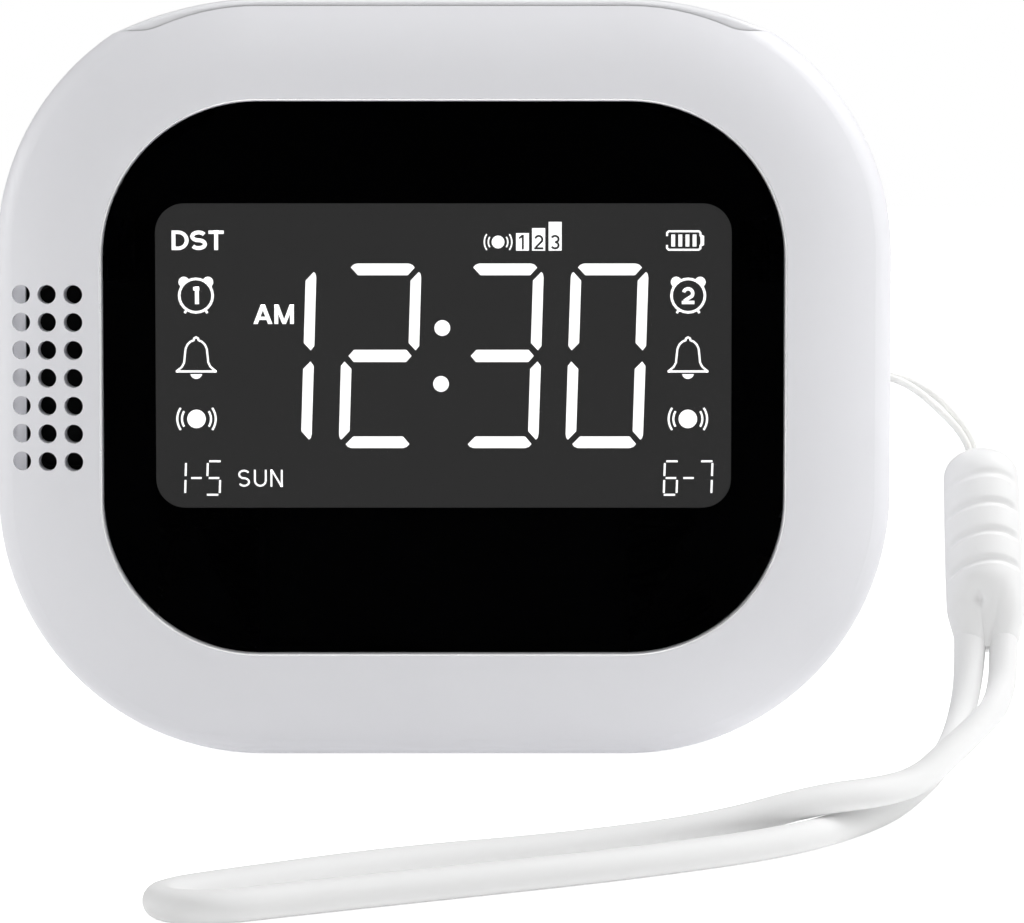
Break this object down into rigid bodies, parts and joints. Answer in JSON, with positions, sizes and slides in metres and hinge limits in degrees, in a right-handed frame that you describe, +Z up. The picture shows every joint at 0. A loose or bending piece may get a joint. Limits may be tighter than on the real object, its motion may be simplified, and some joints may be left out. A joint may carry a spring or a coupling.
{
  "type": "bed shaker alarm clock",
  "caption": "Self-contained vibrating alarm clock with a domed bezel, a snooze bar on top, a dark digital window, a speaker grille, a motor inside and a wrist lanyard.",
  "frame": {"origin": "middle of the clock's footprint in width and depth, on the surface that its feet stand on", "axes": "+X to the right as the display is read, +Y from the front to the back, +Z up"},
  "size_m": [0.1044, 0.1287, 0.0772],
  "materials": {
    "housing_plastic": "moulded, fine satin",
    "bar_plastic": "moulded, fine satin",
    "key_plastic": "moulded, satin",
    "stem_plastic": "moulded",
    "lens": "polished, smoked",
    "mask_ink": "printed black film",
    "panel_face": "dark display face",
    "guide_acrylic": "frosted acrylic",
    "frame_plastic": "moulded",
    "board": "solder mask",
    "screw_steel": "plated",
    "chip_resin": "moulded resin",
    "switch_plastic": "moulded",
    "battery_foil": "laminate pouch",
    "foam": "closed cell foam",
    "socket_steel": "plated",
    "can_steel": "drawn and plated",
    "clamp_steel": "stamped",
    "shaft_steel": "ground",
    "weight_brass": "turned",
    "speaker_plastic": "moulded",
    "cone_paper": "pressed paper",
    "magnet_steel": "plated",
    "foot_rubber": "moulded",
    "pin_steel": "plated",
    "strap_cord": "braided cord",
    "string_cord": "twisted cord",
    "sleeve_plastic": "moulded, soft"
  },
  "bodies": {
    "clock": {"front_housing": "housing_plastic", "rear_housing": "housing_plastic", "display_lens": "lens", "window_mask": "mask_ink", "display_panel": "panel_face", "light_guide": "guide_acrylic", "display_frame": "frame_plastic", "main_board": "board", "snooze_board": "board", "key_board": "board", "charge_board": "board", "board_screws": "screw_steel", "clamp_screws": "screw_steel", "case_screws": "screw_steel", "board_chips": "chip_resin", "snooze_switches": "switch_plastic", "key_switches": "switch_plastic", "battery_pack": "battery_foil", "battery_pad": "foam", "charging_socket": "socket_steel", "motor_can": "can_steel", "motor_clamp": "clamp_steel", "speaker_frame": "speaker_plastic", "speaker_cone": "cone_paper", "speaker_magnet": "magnet_steel", "speaker_gasket": "foam", "foot_pads": "foot_rubber", "lanyard_pin": "pin_steel", "lanyard_strap": "strap_cord", "lanyard_string": "string_cord", "lanyard_sleeve": "sleeve_plastic"},
    "snooze": {"snooze_bar": "bar_plastic", "snooze_stems": "stem_plastic"},
    "rotor": {"motor_shaft": "shaft_steel", "motor_weight": "weight_brass"},
    "alarm_one_key_body": {"alarm_one_key": "key_plastic"},
    "alarm_two_key_body": {"alarm_two_key": "key_plastic"},
    "time_key_body": {"time_key": "key_plastic"},
    "down_key_body": {"down_key": "key_plastic"},
    "up_key_body": {"up_key": "key_plastic"},
    "vibration_key_body": {"vibration_key": "key_plastic"}
  },
  "joints": [
    {"name": "snooze_press", "type": "slide", "parent": "clock", "child": "snooze", "axis": [0, 0, -1], "range_m": [0, 0.0005], "stiffness_N_per_m": 900, "springref_m": -0.0005},
    {"name": "alarm_one_press", "type": "slide", "parent": "clock", "child": "alarm_one_key_body", "axis": [0, -1, 0], "range_m": [0, 0.0005], "stiffness_N_per_m": 800, "springref_m": -0.0005},
    {"name": "alarm_two_press", "type": "slide", "parent": "clock", "child": "alarm_two_key_body", "axis": [0, -1, 0], "range_m": [0, 0.0005], "stiffness_N_per_m": 800, "springref_m": -0.0005},
    {"name": "time_press", "type": "slide", "parent": "clock", "child": "time_key_body", "axis": [0, -1, 0], "range_m": [0, 0.0005], "stiffness_N_per_m": 800, "springref_m": -0.0005},
    {"name": "down_press", "type": "slide", "parent": "clock", "child": "down_key_body", "axis": [0, -1, 0], "range_m": [0, 0.0005], "stiffness_N_per_m": 800, "springref_m": -0.0005},
    {"name": "up_press", "type": "slide", "parent": "clock", "child": "up_key_body", "axis": [0, -1, 0], "range_m": [0, 0.0005], "stiffness_N_per_m": 800, "springref_m": -0.0005},
    {"name": "vibration_press", "type": "slide", "parent": "clock", "child": "vibration_key_body", "axis": [0, -1, 0], "range_m": [0, 0.0005], "stiffness_N_per_m": 800, "springref_m": -0.0005},
    {"name": "rotor_spin", "type": "hinge", "parent": "clock", "child": "rotor", "pos_m": [0.008, 0, 0.0172], "axis": [0, 1, 0], "continuous": true}
  ]
}
